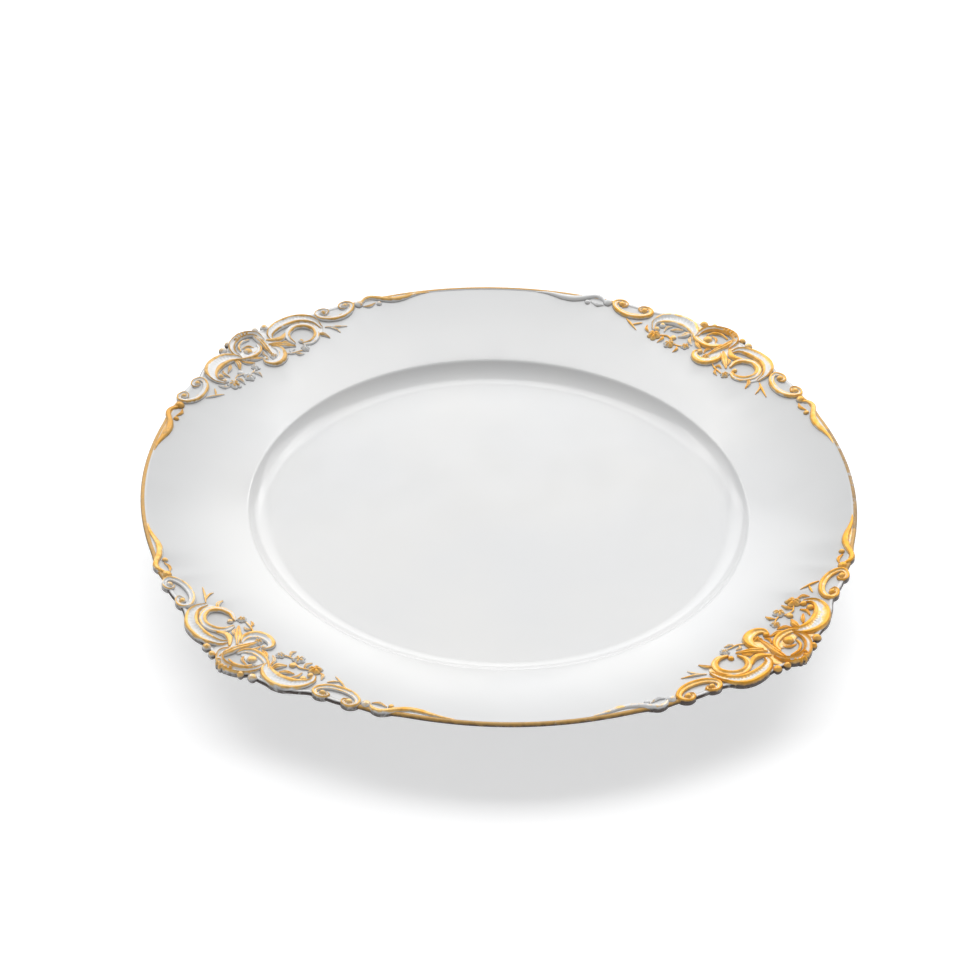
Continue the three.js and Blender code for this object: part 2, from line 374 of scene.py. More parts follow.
def make_edge_band(name, middle, half_angle, material, nodes, wear, shade_stain):
    """Gilding over the lip's crown and edge: a thin closed skin that follows the lobed edge."""
    lip = lip_profile()[LIP_GILDED]
    step = np.gradient(lip, axis=0)
    outward = np.stack([-step[:, 1], step[:, 0]], axis=1)
    outward /= np.linalg.norm(outward, axis=1)[:, None]
    taper = np.sin(np.linspace(0, math.pi, len(lip))) ** SKIN_TAPER
    outer = lip + outward * SKIN * taper[:, None]
    inner = (lip - outward * SKIN_ROOT)[::-1]
    section = np.concatenate([outer, inner])
    count = int(half_angle * BAND_STEPS)
    azimuths = np.radians(np.linspace(middle - half_angle, middle + half_angle, count))
    rings = turned_points(section, azimuths, True).reshape(len(section), count, 3)
    points = rings.transpose(1, 0, 2).reshape(-1, 3)
    faces = grid_faces(count, len(section), True) + end_faces(count, len(section))
    share = np.concatenate([np.linspace(0, 1, len(lip)), np.linspace(1, 0, len(lip))])
    lobe = np.clip((edge_out(arc_from_crest(azimuths)) - LOBE_START) / LOBE_FADE, 0, 1)[:, None]
    crown, loss = BAND_GILT
    gilt = (np.clip(crown - loss * share, 0, 1)[None, :] * (1 - lobe)).ravel()
    # The lip's lower side and outer face are darkened: painted shade, with some antique bronze stain.
    begin, fade = BAND_SHADE_STAIN
    shade = np.clip((share[None, :] - begin + LOBE_SHADE_STAIN * lobe) / fade, shade_stain, 1).ravel()
    values = {"gilt": gilt, "shade": shade, "wear": np.full(len(gilt), wear)}
    values["tarnish"] = np.full(len(gilt), EDGE_TARNISH)
    piece = write_mesh(name, points, faces, material, values)
    settle(piece, "gilt", *nodes)


# ---------------------------------------------------------------- relief

# Sections of a moulding across its width: [across, height, gilding]
CHANNEL = [
    (-1.0, 0.0, 0.35),
    (-0.97, 0.4, 0.6),
    (-0.86, 0.82, 0.9),
    (-0.7, 1.0, 1.0),
    (-0.52, 0.84, 0.85),
    (-0.34, 0.5, 0.4),
    (0.0, 0.34, 0.12),
    (0.34, 0.5, 0.4),
    (0.52, 0.84, 0.85),
    (0.7, 1.0, 1.0),
    (0.86, 0.82, 0.9),
    (0.97, 0.4, 0.6),
    (1.0, 0.0, 0.35),
]
ROUND = [
    (-1.0, 0.0, 0.3),
    (-0.95, 0.36, 0.5),
    (-0.8, 0.66, 0.78),
    (-0.55, 0.88, 0.95),
    (0.0, 1.0, 1.0),
    (0.55, 0.88, 0.95),
    (0.8, 0.66, 0.78),
    (0.95, 0.36, 0.5),
    (1.0, 0.0, 0.3),
]
SCROLL = [
    (-1.0, 0.0, 0.35),
    (-0.94, 0.42, 0.6),
    (-0.78, 0.82, 0.9),
    (-0.52, 1.0, 1.0),
    (-0.24, 0.9, 0.9),
    (0.06, 0.6, 0.5),
    (0.32, 0.5, 0.4),
    (0.58, 0.66, 0.75),
    (0.8, 0.6, 0.65),
    (0.95, 0.3, 0.4),
    (1.0, 0.0, 0.3),
]
LEAF = [
    (-1.0, 0.0, 0.3),
    (-0.9, 0.4, 0.5),
    (-0.6, 0.86, 0.9),
    (-0.25, 0.9, 0.95),
    (0.0, 0.55, 0.55),
    (0.25, 0.9, 0.95),
    (0.6, 0.86, 0.9),
    (0.9, 0.4, 0.5),
    (1.0, 0.0, 0.3),
]

PAD = [
    (-1.0, 0.0, 0.3),
    (-0.9, 0.7, 0.4),
    (0.0, 1.0, 0.45),
    (0.9, 0.7, 0.4),
    (1.0, 0.0, 0.3),
]

ROOT = 0.7  # how far relief runs into the china
EDGE_ROOT = 1.4  # the same where it hangs over the edge
SHADE_TOP = 0.3  # the painted shade and antique stain in the recesses reach this share of the height
KNOB_SHADE_TOP = 0.5
# darkness of the relief's roots: painted shade in the recesses, with some antique stain
ROOT_SHADE_STAIN = 0.55
OVERHANG = 0.9  # relief this near the edge is darkened below its gilded top, with painted shade and antique stain
SHADE_STAIN_TOP = 1.1  # the painted shade and stain over the edge reach this high, and fade over the next length
SHADE_STAIN_FADE = 0.7
ROOT_GILT = 0.1
RELIEF_CREASE = 70  # degrees
LINE_STEP = 0.45  # sampling of a moulding's line
CAP_STEPS = 6  # of a moulding's rounded end
CAP_TURN = math.radians(88)
CAP_DROP = 0.6  # the lower, the blunter the end
KNOB_GILT = 0.85
KNOB_AROUND = 20
MOUND_AROUND = 60
MOUND_RINGS = 9
SHELL_RINGS = 10
FLUTE_PITCH = 1.6
FLUTE_STEPS = 10


class Relief:
    """Moulded shapes collected flat as [arc, out, height], to be laid on the rim as one piece."""

    def __init__(self):
        self.points = []
        self.faces = []
        self.gilt = []
        self.shade = []

    def add(self, points, faces, gilt, shade):
        first = len(self.points)
        self.points += [tuple(p) for p in points]
        self.faces += [tuple(first + v for v in face) for face in faces]
        self.gilt += list(gilt)
        self.shade += list(shade)

    def strip(self, line, section=ROUND, root=ROOT, flutes=0.0):
        """A moulding along a smooth line of (arc, out, width, height), with rounded ends."""
        path = smooth_line(line)
        tangent = np.gradient(path[:, :2], axis=0)
        tangent /= np.linalg.norm(tangent, axis=1)[:, None] + 1e-9
        angles = [i / CAP_STEPS * CAP_TURN for i in range(1, CAP_STEPS + 1)]
        rows = [end_row(path[0], tangent[0], -1, a) for a in reversed(angles)]
        rows += [(*at, along, 1.0) for at, along in zip(path, tangent, strict=True)]
        rows += [end_row(path[-1], tangent[-1], 1, a) for a in angles]
        ring = [(-1.0, None, ROOT_GILT), *section, (1.0, None, ROOT_GILT)]
        points = []
        gilt = []
        shade = []
        travelled = 0.0
        last = None
        for s, out, width, height, along, rise in rows:
            here = np.array([s, out])
            travelled += 0.0 if last is None else float(np.linalg.norm(here - last))
            last = here
            across = np.array([-along[1], along[0]])
            valley = flutes * (0.5 + 0.5 * math.cos(2 * math.pi * travelled / FLUTE_PITCH))
            for y, lift, gold in ring:
                spot = here + across * y * width / 2
                if lift is None:
                    points.append((spot[0], spot[1], -root))
                    shade.append(1.0)
                else:
                    fluted = valley * (1 - abs(y)) ** 2 * (1 if abs(y) < 0.5 else 0)
                    points.append((spot[0], spot[1], height * rise * (lift + fluted)))
                    shade.append(max(0.0, 1 - lift / SHADE_TOP))
                gilt.append(gold)
        faces = grid_faces(len(rows), len(ring), True) + end_faces(len(rows), len(ring))
        self.add(points, faces, gilt, shade)

    def bead(self, s, out, radius, height, root=ROOT):
        """A round knob, drawn in a little towards its root."""
        rings = [(math.sin(a), math.cos(a)) for a in np.linspace(0.04, math.pi / 2, 8)]
        levels = [(radius * reach, height * lift, lift) for reach, lift in rings]
        levels += [(radius * 0.9, -0.4 * root, None), (radius * 0.6, -root, None)]
        points = []
        gilt = []
        shade = []
        for reach, level, lift in levels:
            for j in range(KNOB_AROUND):
                a = 2 * math.pi * j / KNOB_AROUND
                points.append((s + reach * math.cos(a), out + reach * math.sin(a), level))
                gilt.append(ROOT_GILT if lift is None else KNOB_GILT * (0.35 + 0.65 * lift**0.5))
                shade.append(1.0 if lift is None else max(0.0, 1 - lift / KNOB_SHADE_TOP))
        faces = grid_faces(len(levels), KNOB_AROUND, True) + end_faces(len(levels), KNOB_AROUND)
        self.add(points, faces, gilt, shade)

    def polar(self, s, out, reach, height, gold):
        """A mound about a point; reach(angle), height(t, angle) and gold(t, angle) shape and paint it."""
        points = []
        gilt = []
        shade = []
        for i in range(MOUND_RINGS + 1):
            t = max(i, 0.05) / MOUND_RINGS
            for j in range(MOUND_AROUND):
                a = 2 * math.pi * j / MOUND_AROUND
                span = reach(a) * t
                lift = height(t, a)
                points.append((s + span * math.sin(a), out + span * math.cos(a), lift))
                gilt.append(gold(t, a))
                shade.append(1.0 if i == MOUND_RINGS else 0.0)
        for j in range(MOUND_AROUND):
            a = 2 * math.pi * j / MOUND_AROUND
            points.append((s + reach(a) * math.sin(a), out + reach(a) * math.cos(a), -ROOT))
            gilt.append(ROOT_GILT)
            shade.append(1.0)
        rows = MOUND_RINGS + 2
        faces = grid_faces(rows, MOUND_AROUND, True) + end_faces(rows, MOUND_AROUND)
        self.add(points, faces, gilt, shade)

    def flower(self, s, out, radius, height, petals=5, turn=0.0, gilding=0.45):
        def petal(a):
            return abs(math.cos(petals * (a - turn) / 2))

        def reach(a):
            return radius * (0.7 + 0.3 * petal(a) ** 0.7)

        def rise(t, a):
            cup = math.sin(math.pi * min(0.25 + 0.72 * t, 1.0))
            return height * cup * (0.6 + 0.4 * petal(a)) + 0.02

        def gold(t, a):
            return gilding + 0.5 * petal(a) * math.sin(math.pi * min(t + 0.15, 1.0))

        self.polar(s, out, reach, rise, gold)
        self.bead(s, out, radius * 0.27, height * 1.02)

    def shell(self, s, out, inner, outer, spread, flutes, height, root):
        """A fluted fan that opens outwards, scalloped along its edge. Outer is its reach by angle."""
        across = flutes * FLUTE_STEPS + 1
        points = []
        gilt = []
        shade = []
        for i in range(SHELL_RINGS + 2):
            t = min(i, SHELL_RINGS) / SHELL_RINGS
            for j in range(across):
                u = j / (across - 1)
                a = -spread + 2 * spread * u
                ridge = abs(math.sin(math.pi * flutes * u))
                reach = inner + (outer(a) * (0.9 + 0.1 * ridge**0.6) - inner) * t
                lift = height * (0.5 + 0.5 * ridge) * math.sin(math.pi * (0.12 + 0.8 * t)) ** 0.6
                inside = min(j, across - 1 - j) > 0 and i <= SHELL_RINGS
                level = lift if inside else -root
                points.append((s + reach * math.sin(a), out + reach * math.cos(a), level))
                gilt.append(0.25 + 0.75 * ridge**0.8 if inside else ROOT_GILT)
                shade.append(0.0 if inside else 1.0)
        for j in range(across):
            u = j / (across - 1)
            a = -spread + 2 * spread * u
            points.append((s + inner * math.sin(a), out + inner * math.cos(a), -root))
            gilt.append(ROOT_GILT)
            shade.append(1.0)
        rows = SHELL_RINGS + 3
        faces = grid_faces(rows, across, False, True)
        faces.append(tuple(i * across for i in reversed(range(rows))))
        faces.append(tuple(i * across + across - 1 for i in range(rows)))
        self.add(points, faces, gilt, shade)

    def lay(self, node, azimuth, side, material, wear, tarnish, shade_stain):
        """Bends the collected shapes round the rim and makes the piece."""
        flat = np.array(self.points)
        arc = flat[:, 0] * side
        out = flat[:, 1]
        turn = math.radians(azimuth) - arc / RIM_RADIUS
        level = china_level(arc, out) + flat[:, 2]
        # Darkening under the overhanging edge and in the roots: painted shade, with some antique stain.
        beyond = np.clip((out - edge_out(arc) + OVERHANG) / SHADE_STAIN_FADE, 0, 1)
        below = np.clip((SHADE_STAIN_TOP - flat[:, 2]) / SHADE_STAIN_FADE, 0, 1)
        shade = np.maximum(np.array(self.shade) * ROOT_SHADE_STAIN, beyond * below * shade_stain)
        radius = RIM_RADIUS + out
        points = np.stack([radius * np.cos(turn), radius * np.sin(turn), level], axis=1)
        values = {"gilt": self.gilt, "shade": shade}
        values["wear"] = np.full(len(points), wear)
        values["tarnish"] = np.full(len(points), tarnish)
        piece = write_mesh(f"relief_{node}", points, self.faces, material, values, RELIEF_CREASE)
        settle(piece, "gilded_relief", node)


def smooth_line(line):
    """A Catmull-Rom curve through (arc, out, width, height), sampled evenly."""
    knots = np.array(line, float)
    padded = np.concatenate([[2 * knots[0] - knots[1]], knots, [2 * knots[-1] - knots[-2]]])
    rows = []
    for i in range(len(knots) - 1):
        p0, p1, p2, p3 = padded[i : i + 4]
        length = np.linalg.norm(p2[:2] - p1[:2])
        count = max(int(length / LINE_STEP), 2)
        square = 2 * p0 - 5 * p1 + 4 * p2 - p3
        cube = 3 * p1 - p0 - 3 * p2 + p3
        for t in np.arange(count) / count:
            rows.append(0.5 * (2 * p1 + (p2 - p0) * t + square * t**2 + cube * t**3))
    rows.append(knots[-1])
    return np.array(rows)


def end_row(at, along, sign, angle):
    """A narrower and lower row of a moulding, beyond its end."""
    s, out, width, height = at
    reach = width / 2 * math.sin(angle) * sign
    place = (s + along[0] * reach, out + along[1] * reach)
    return (*place, width * math.cos(angle), height, along, math.cos(angle) ** CAP_DROP)


def shell_crest(relief):
    """The head of a cluster: an arch round a hollow, a boss on a curl below it, and knobs on the edge."""
    arch = [
        (-10.6, -2.6, 1.6, 1.1),
        (-10.4, 1.4, 2.8, 1.6),
        (-8.2, 5.0, 3.5, 1.9),
        (-4.2, 7.5, 3.9, 2.0),
        (0.4, 8.2, 4.0, 2.1),
        (4.2, 6.8, 3.6, 2.0),
        (6.4, 3.6, 2.9, 1.8),
        (6.6, 0.0, 1.6, 1.2),
    ]
    relief.strip(arch, CHANNEL, EDGE_ROOT)
    fold = [
        (-7.0, 0.6, 0.9, 0.8),
        (-5.6, 3.2, 1.3, 1.2),
        (-2.2, 4.8, 1.4, 1.3),
        (1.6, 4.2, 0.9, 0.8),
    ]
    relief.strip(fold)
    relief.shell(0.5, 4.6, 3.6, lambda a: 6.3 - 1.3 * a * a, 1.0, 5, 2.0, EDGE_ROOT)
    curl = [
        (-13.4, -1.8, 1.2, 0.9),
        (-10.6, -4.4, 2.6, 1.5),
        (-6.2, -6.0, 3.5, 1.8),
        (-1.8, -5.8, 3.3, 1.8),
        (1.2, -3.8, 2.4, 1.5),
        (2.2, -1.2, 1.4, 1.0),
    ]
    relief.strip(curl, SCROLL)
    relief.bead(-4.8, -2.1, 2.3, 1.9)
    relief.strip([(-0.6, -1.6, 0.6, 0.5), (-2.0, 0.6, 1.5, 1.1), (-5.0, 1.5, 0.7, 0.5)], LEAF)
    relief.strip([(-9.6, -2.4, 4.0, 0.4), (-5.0, -3.0, 6.4, 0.5), (-0.6, -2.6, 4.0, 0.4)], PAD)
    relief.strip([(-13.2, 4.6, 3.4, 0.4), (-12.4, -0.2, 4.4, 0.5), (-10.8, -5.0, 3.4, 0.4)], PAD)
    relief.strip([(8.2, 5.2, 3.8, 0.4), (8.6, 0.0, 6.0, 0.5), (8.6, -5.4, 5.0, 0.4)], PAD)
    for s, out, radius in ((-12.6, 6.2, 2.0), (-8.0, 7.8, 1.5), (8.0, 7.3, 1.6), (12.4, 6.2, 1.9)):
        relief.bead(s, out, radius, 2.0, EDGE_ROOT)


def bud(relief):
    """A crescent-shaped shell bud hanging inwards from the crest on a grooved stem."""
    stem = [
        (5.0, 5.4, 1.6, 1.3),
        (4.8, 1.4, 2.9, 1.9),
        (4.2, -3.0, 3.0, 1.9),
        (3.1, -7.0, 2.5, 1.6),
        (2.4, -10.6, 1.5, 1.1),
    ]
    relief.strip(stem, LEAF)
    crescent = [
        (-3.2, -11.0, 1.7, 1.1),
        (-3.8, -13.4, 3.0, 1.5),
        (-1.8, -15.6, 4.0, 1.7),
        (2.0, -16.2, 4.8, 1.8),
        (5.6, -14.8, 5.0, 1.9),
        (7.6, -11.8, 4.3, 1.8),
        (7.6, -8.8, 3.0, 1.5),
        (6.4, -6.8, 1.5, 1.1),
    ]
    relief.strip(crescent, SCROLL)
    relief.flower(2.4, -12.2, 2.3, 1.4, 5, 0.4)
    relief.strip([(5.4, -4.6, 4.0, 0.4), (4.4, -8.2, 5.4, 0.5), (3.2, -12.0, 5.4, 0.4)], PAD)
    relief.bead(-2.4, -11.2, 1.4, 1.5)
    relief.strip([(-9.4, -5.4, 0.9, 0.7), (-6.4, -8.2, 2.4, 1.4), (-2.8, -9.6, 0.8, 0.6)], LEAF)
    relief.strip([(0.6, -6.6, 0.7, 0.6), (-0.8, -8.4, 1.5, 1.1), (-0.4, -10.6, 0.6, 0.5)], LEAF)


def scroll_left(relief):
    """The broad channelled scroll on the left, open inwards, with acanthus leaves in its lap."""
    channel = [
        (-11.4, -5.6, 1.8, 1.0),
        (-12.8, -2.0, 4.6, 1.6),
        (-16.4, 0.7, 7.2, 1.8),
        (-21.6, 1.7, 8.2, 1.9),
        (-26.8, 0.6, 7.6, 1.9),
        (-30.6, -2.2, 5.6, 1.7),
        (-32.4, -5.8, 3.3, 1.4),
        (-31.4, -9.0, 1.9, 1.0),
    ]
    relief.strip(channel, CHANNEL, EDGE_ROOT, 0.22)
    relief.bead(-29.6, -8.9, 1.5, 1.4)
    relief.bead(-28.4, -5.4, 1.6, 1.5)
    relief.strip([(-14.6, -3.0, 1.3, 1.0), (-15.2, -5.6, 3.2, 1.7), (-17.4, -8.2, 1.2, 0.8)], LEAF)
    relief.strip([(-18.4, -3.4, 1.0, 0.9), (-20.4, -4.8, 2.2, 1.4), (-23.2, -6.0, 0.9, 0.7)], LEAF)
    relief.strip([(-12.6, -5.6, 0.9, 0.8), (-11.4, -8.0, 2.0, 1.2), (-8.8, -9.8, 0.8, 0.6)], LEAF)
    relief.strip([(-24.2, -3.6, 0.8, 0.7), (-25.8, -5.6, 1.5, 1.1), (-25.6, -8.4, 0.7, 0.6)], LEAF)


def scroll_right(relief):
    """The channelled scroll on the right, rolled inwards into a ring round a hollow."""
    channel = [
        (9.8, -2.6, 1.6, 1.0),
        (11.4, 0.6, 3.6, 1.6),
        (15.6, 2.7, 5.3, 1.8),
        (21.0, 3.4, 6.1, 1.9),
        (26.8, 2.7, 6.1, 1.9),
        (31.4, -0.2, 5.3, 1.8),
        (34.0, -4.2, 3.6, 1.5),
        (34.6, -8.2, 2.0, 1.0),
    ]
    relief.strip(channel, CHANNEL, EDGE_ROOT, 0.22)
    ring = [
        (17.0, -10.6, 1.4, 1.0),
        (16.6, -7.0, 2.6, 1.5),
        (18.6, -3.6, 3.2, 1.7),
        (23.4, -1.7, 3.4, 1.8),
        (28.4, -3.4, 3.5, 1.8),
        (31.0, -7.8, 3.4, 1.8),
        (29.4, -12.2, 3.3, 1.7),
        (25.0, -14.4, 2.9, 1.5),
        (20.8, -13.6, 1.8, 1.1),
    ]
    relief.strip(ring, SCROLL)
    branch = [
        (7.8, -1.6, 1.3, 1.0),
        (10.8, -4.2, 2.9, 1.6),
        (14.0, -4.8, 2.9, 1.6),
        (17.4, -3.2, 1.6, 1.1),
    ]
    relief.strip(branch)
    relief.strip([(31.6, -3.6, 2.4, 0.4), (33.2, -8.2, 3.4, 0.5), (31.8, -12.0, 2.4, 0.4)], PAD)
    relief.bead(20.6, -11.4, 1.4, 1.3)
    relief.strip([(6.6, -4.6, 1.3, 1.0), (10.4, -8.2, 3.7, 1.7), (15.8, -12.4, 1.2, 0.8)], LEAF)
    relief.strip([(11.4, -7.4, 0.8, 0.7), (13.6, -8.0, 1.9, 1.1), (15.0, -10.2, 0.7, 0.6)], LEAF)
    relief.strip([(30.4, -11.4, 0.9, 0.8), (33.2, -13.2, 2.2, 1.2), (34.6, -16.0, 0.8, 0.6)], LEAF)


def floret_left(relief):
    """Three flowers with leaves along a twig, and a thin spray beyond them."""
    relief.strip([(-26.4, -11.8, 0.7, 0.6), (-22.6, -10.6, 0.9, 0.8), (-18.8, -12.0, 0.8, 0.7)])
    relief.strip([(-16.4, -13.8, 0.7, 0.6), (-13.8, -13.6, 0.8, 0.7), (-11.4, -12.4, 0.7, 0.6)])
    relief.flower(-28.8, -13.2, 3.5, 1.7, 5, 0.3, 0.65)
    relief.flower(-18.8, -14.8, 3.0, 1.6, 5, 0.9)
    relief.flower(-10.9, -12.2, 2.3, 1.3, 5, 0.1)
    relief.bead(-19.4, -10.2, 1.6, 1.3)
    relief.strip([(-24.4, -11.4, 0.6, 0.5), (-23.8, -13.6, 1.9, 1.2), (-24.6, -16.4, 0.6, 0.5)], LEAF)
    relief.strip([(-14.4, -14.4, 0.6, 0.5), (-13.2, -16.2, 1.8, 1.1), (-13.8, -18.4, 0.5, 0.4)], LEAF)
    relief.strip([(-32.0, -12.6, 0.6, 0.5), (-34.2, -11.2, 1.8, 1.1), (-35.0, -8.8, 0.6, 0.5)], LEAF)
    relief.strip([(-46.4, -8.8, 0.6, 0.5), (-43.0, -11.2, 1.2, 0.9), (-38.8, -13.8, 0.5, 0.4)])
    relief.strip([(-38.2, -8.6, 0.6, 0.5), (-40.2, -10.2, 1.1, 0.8), (-42.0, -11.4, 0.6, 0.5)])


def floret_right(relief):
    """A flower under the ring with a leafy twig, and a thin spray beyond it."""
    relief.strip([(7.6, -13.8, 0.6, 0.5), (11.4, -15.8, 0.9, 0.8), (16.6, -16.6, 0.7, 0.6)])
    relief.flower(19.2, -16.2, 2.3, 1.4, 5, 0.5)
    relief.strip([(11.0, -15.4, 0.6, 0.5), (12.2, -13.6, 1.6, 1.0), (14.2, -14.0, 0.6, 0.5)], LEAF)
    relief.strip([(12.6, -16.2, 0.6, 0.5), (13.8, -18.0, 1.6, 1.0), (16.2, -18.8, 0.5, 0.4)], LEAF)
    relief.strip([(36.6, -9.4, 0.6, 0.5), (41.0, -11.2, 1.2, 0.9), (46.8, -12.8, 0.5, 0.4)])
    relief.strip([(38.4, -10.4, 0.6, 0.5), (40.6, -12.8, 1.1, 0.8), (41.6, -15.2, 0.5, 0.4)])


def cup_scroll(relief):
    """A C-scroll open to the rim, with its ends rolled in round two knobs."""
    cup = [
        (41.6, -2.0, 1.0, 0.8),
        (43.1, -0.8, 1.5, 1.1),
        (42.0, 0.9, 1.8, 1.3),
        (39.2, 1.3, 2.1, 1.4),
        (37.0, -0.4, 2.4, 1.5),
        (37.6, -3.2, 2.7, 1.6),
        (41.2, -5.7, 3.0, 1.7),
        (46.6, -6.6, 3.2, 1.7),
        (51.6, -5.5, 3.0, 1.7),
        (55.0, -2.8, 2.7, 1.6),
        (55.2, -0.2, 2.4, 1.5),
        (52.8, 1.5, 2.1, 1.4),
        (50.1, 0.8, 1.8, 1.3),
        (49.6, -1.0, 1.4, 1.1),
        (51.1, -2.1, 1.0, 0.8),
    ]
    relief.strip(cup, SCROLL, EDGE_ROOT)
    relief.bead(40.5, -0.9, 1.5, 1.6, EDGE_ROOT)
    relief.bead(52.0, -0.6, 1.6, 1.7, EDGE_ROOT)


def tail_scroll(relief):
    """The wave that runs out into the plain rim, headed by a knob."""
    relief.bead(58.8, -2.0, 2.1, 1.8, EDGE_ROOT)
    wave = [
        (60.6, -1.6, 1.4, 1.0),
        (62.6, 0.0, 2.2, 1.5),
        (65.4, 0.5, 2.5, 1.7),
        (68.4, -0.8, 2.6, 1.6),
        (71.8, -2.8, 2.8, 1.5),
        (76.2, -4.1, 3.0, 1.5),
        (80.8, -4.0, 2.7, 1.4),
        (85.2, -3.1, 2.1, 1.1),
        (89.6, -2.4, 1.4, 0.7),
        (94.0, -2.2, 0.7, 0.3),
    ]
    relief.strip(wave, ROUND, 1.2)
    relief.strip([(71.0, -1.3, 1.4, 0.3), (77.0, -2.2, 2.6, 0.4), (84.0, -2.1, 1.2, 0.3)], PAD)
    relief.bead(68.4, -4.4, 1.3, 1.2)
    relief.strip([(60.6, -4.0, 0.6, 0.5), (63.4, -4.8, 1.7, 1.0), (66.6, -3.6, 0.6, 0.5)], LEAF)


# ---------------------------------------------------------------- materials


class Nodes:
    """A material's node tree, with short calls for the nodes used here."""

    def __init__(self, name):
        self.material = bpy.data.materials.new(name)
        self.material.use_nodes = True
        self.tree = self.material.node_tree
        self.shader = self.tree.nodes["Principled BSDF"]

    def link(self, source, target):
        if isinstance(source, bpy.types.NodeSocket):
            self.tree.links.new(source, target)
        else:
            target.default_value = source

    def math(self, operation, first, second=0.0):
        node = self.tree.nodes.new("ShaderNodeMath")
        node.operation = operation
        self.link(first, node.inputs[0])
        self.link(second, node.inputs[1])
        return node.outputs[0]

    def attribute(self, name):
        node = self.tree.nodes.new("ShaderNodeAttribute")
        node.attribute_name = name
        return node.outputs["Fac"]

    def place(self):
        return self.tree.nodes.new("ShaderNodeTexCoord").outputs["Object"]

    def noise(self, scale, detail=2.0, roughness=0.5):
        node = self.tree.nodes.new("ShaderNodeTexNoise")
        self.link(self.place(), node.inputs["Vector"])
        node.inputs["Scale"].default_value = scale
        node.inputs["Detail"].default_value = detail
        node.inputs["Roughness"].default_value = roughness
        return node.outputs["Fac"]

    def ramp(self, value, low, high, to_low=0.0, to_high=1.0):
        node = self.tree.nodes.new("ShaderNodeMapRange")
        node.interpolation_type = "SMOOTHSTEP"
        self.link(value, node.inputs["Value"])
        self.link(low, node.inputs["From Min"])
        self.link(high, node.inputs["From Max"])
        node.inputs["To Min"].default_value = to_low
        node.inputs["To Max"].default_value = to_high
        return node.outputs["Result"]

    def mix(self, share, first, second):
        node = self.tree.nodes.new("ShaderNodeMix")
        node.data_type = "RGBA"
        self.link(share, node.inputs["Factor"])
        colours = [i for i in node.inputs if i.type == "RGBA"]
        self.link(first if isinstance(first, bpy.types.NodeSocket) else (*first, 1), colours[0])
        self.link(second if isinstance(second, bpy.types.NodeSocket) else (*second, 1), colours[1])
        return [o for o in node.outputs if o.type == "RGBA"][0]

    def bump(self, height, strength, distance, under=None):
        node = self.tree.nodes.new("ShaderNodeBump")
        node.inputs["Strength"].default_value = strength
        node.inputs["Distance"].default_value = distance
        self.link(height, node.inputs["Height"])
        if under is not None:
            self.link(under, node.inputs["Normal"])
        return node.outputs["Normal"]


CHINA = (0.73, 0.73, 0.725)
CHINA_SHADE = (0.705, 0.71, 0.715)
# the glaze's colour at the very rim, which is painted shade
CHINA_RIM_SHADE = (0.57, 0.575, 0.578)
RIM_SHADE_RADII = (0.106, 0.153)  # painted shade: the glaze is made greyer between these radii, in metres, as shade towards the rim
GOLD = (0.85, 0.40, 0.03)
GOLD_PALE = (0.86, 0.58, 0.24)
GOLD_DEEP = (0.46, 0.265, 0.07)
# the dark brown of the painted shade and antique stain in roots and under edges
SHADE_STAIN_BROWN = (0.050, 0.034, 0.028)
BISCUIT = (0.66, 0.61, 0.52)
BISCUIT_SHADE = (0.56, 0.51, 0.43)
FLOOR_TONE = (0.90, 0.90, 0.90)
FLOOR_TONE_SHADE = (0.88, 0.88, 0.885)
FLOOR_GLOW = 0.3  # the floor is a light table, which keeps the shadows pale


def glaze_body(m):
    """White glaze with a faint cloudiness."""
    return m.mix(m.ramp(m.noise(14, 3), 0.35, 0.7), CHINA, CHINA_SHADE)


def glaze_colour(m):
    """White glaze with painted shade: a little greyer towards the rim."""
    body = glaze_body(m)
    split = m.tree.nodes.new("ShaderNodeSeparateXYZ")
    m.link(m.place(), split.inputs[0])
    squares = [m.math("POWER", split.outputs[axis], 2.0) for axis in ("X", "Y")]
    radius = m.math("SQRT", m.math("ADD", *squares))
    return m.mix(m.ramp(radius, *RIM_SHADE_RADII), body, CHINA_RIM_SHADE)


def glaze_surface(m):
    """Roughness and the slight waviness of a fired glaze."""
    roughness = m.ramp(m.noise(60, 3), 0.3, 0.7, 0.13, 0.2)
    waves = m.bump(m.noise(38, 1), 0.12, 0.0006)
    peel = m.bump(m.noise(700, 2), 0.05, 0.0001, waves)
    return roughness, peel


def make_glaze():
    m = Nodes("china_glaze")
    m.link(glaze_colour(m), m.shader.inputs["Base Color"])
    roughness, normal = glaze_surface(m)
    m.link(roughness, m.shader.inputs["Roughness"])
    m.link(normal, m.shader.inputs["Normal"])
    m.shader.inputs["IOR"].default_value = 1.5
    return m.material


def make_biscuit():
    """Glazed sides and a bare, slightly gritty standing edge."""
    m = Nodes("biscuit_foot")
    split = m.tree.nodes.new("ShaderNodeSeparateXYZ")
    m.link(m.place(), split.inputs[0])
    ragged = m.math("ADD", split.outputs["Z"], m.math("MULTIPLY", m.noise(160, 2), 0.0006))
    glazed = m.ramp(ragged, 0.0008, 0.0014)
    grit = m.ramp(m.noise(1500, 4, 0.7), 0.35, 0.65)
    bare = m.mix(grit, BISCUIT, BISCUIT_SHADE)
    m.link(m.mix(glazed, bare, glaze_colour(m)), m.shader.inputs["Base Color"])
    m.link(m.ramp(glazed, 0.0, 1.0, 0.72, 0.17), m.shader.inputs["Roughness"])
    m.link(m.bump(m.noise(1500, 4, 0.7), 0.25, 0.0001), m.shader.inputs["Normal"])
    return m.material


